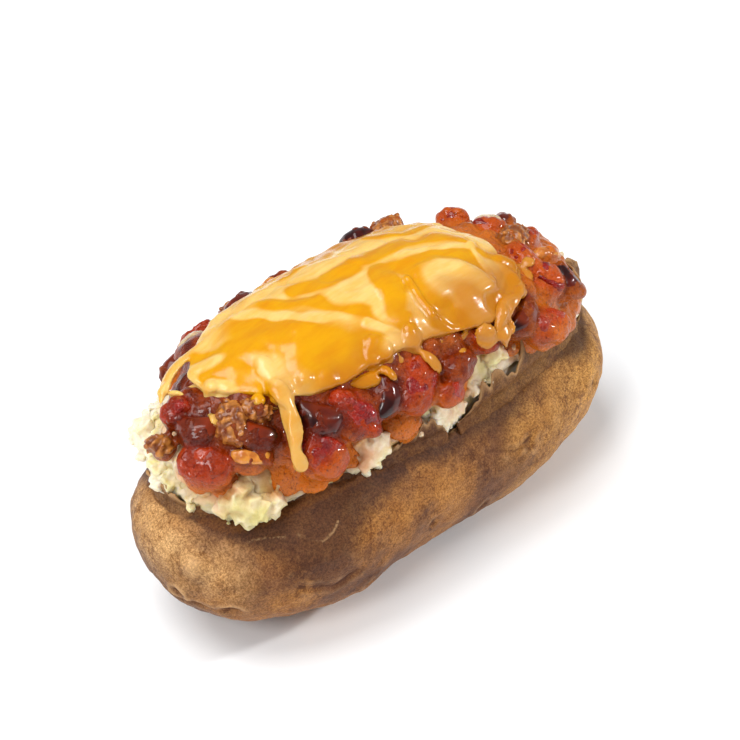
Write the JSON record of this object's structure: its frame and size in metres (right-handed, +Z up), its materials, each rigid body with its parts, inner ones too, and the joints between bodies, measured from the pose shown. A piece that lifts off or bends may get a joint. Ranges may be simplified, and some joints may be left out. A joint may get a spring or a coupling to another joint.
{
  "type": "baked potato",
  "caption": "Whole baked potato split lengthwise, its fluffed flesh heaped with bean and beef chili and a blanket of melted cheese.",
  "frame": {"origin": "a point of the flat spot that the potato rests on, straight below the middle of its length", "axes": "+X along the potato, towards its thicker end; +Z up; -Y the side that the long strand of cheese hangs over"},
  "size_m": [0.1405, 0.0671, 0.0756],
  "materials": {
    "baked_skin": "dry baked potato skin: brown, thin and a little rough",
    "potato_flesh": "crumbly cooked potato, cream coloured and matt",
    "chili_sauce": "thick wet red-brown chili sauce",
    "melted_cheese": "melted cheddar and jack cheese, golden and shiny",
    "bean": "dark red kidney bean, shiny with sauce",
    "tomato": "cooked tomato, red and wet",
    "beef": "crumbled minced beef, brown",
    "pepper": "cooked orange pepper strip",
    "onion": "cooked onion, pale and clear"
  },
  "bodies": {
    "root": {"jacket": "baked_skin", "flesh": "potato_flesh", "chili": "chili_sauce", "cheese": "melted_cheese", "bean_1": "bean", "bean_2": "bean", "bean_3": "bean", "bean_4": "bean", "bean_5": "bean", "bean_6": "bean", "bean_7": "bean", "bean_8": "bean", "bean_9": "bean", "bean_10": "bean", "bean_11": "bean", "bean_12": "bean", "bean_13": "bean", "beef_1": "beef", "beef_2": "beef", "beef_3": "beef", "beef_4": "beef", "beef_5": "beef", "beef_6": "beef", "beef_7": "beef", "beef_8": "beef", "onion_1": "onion", "onion_2": "onion", "pepper_1": "pepper", "pepper_2": "pepper", "pepper_3": "pepper", "pepper_4": "pepper", "tomato_1": "tomato", "tomato_2": "tomato", "tomato_3": "tomato", "tomato_4": "tomato", "tomato_5": "tomato", "tomato_6": "tomato", "tomato_7": "tomato", "tomato_8": "tomato", "tomato_9": "tomato", "tomato_10": "tomato", "tomato_11": "tomato", "tomato_12": "tomato", "tomato_13": "tomato", "tomato_14": "tomato", "tomato_15": "tomato", "tomato_16": "tomato"}
  },
  "joints": []
}
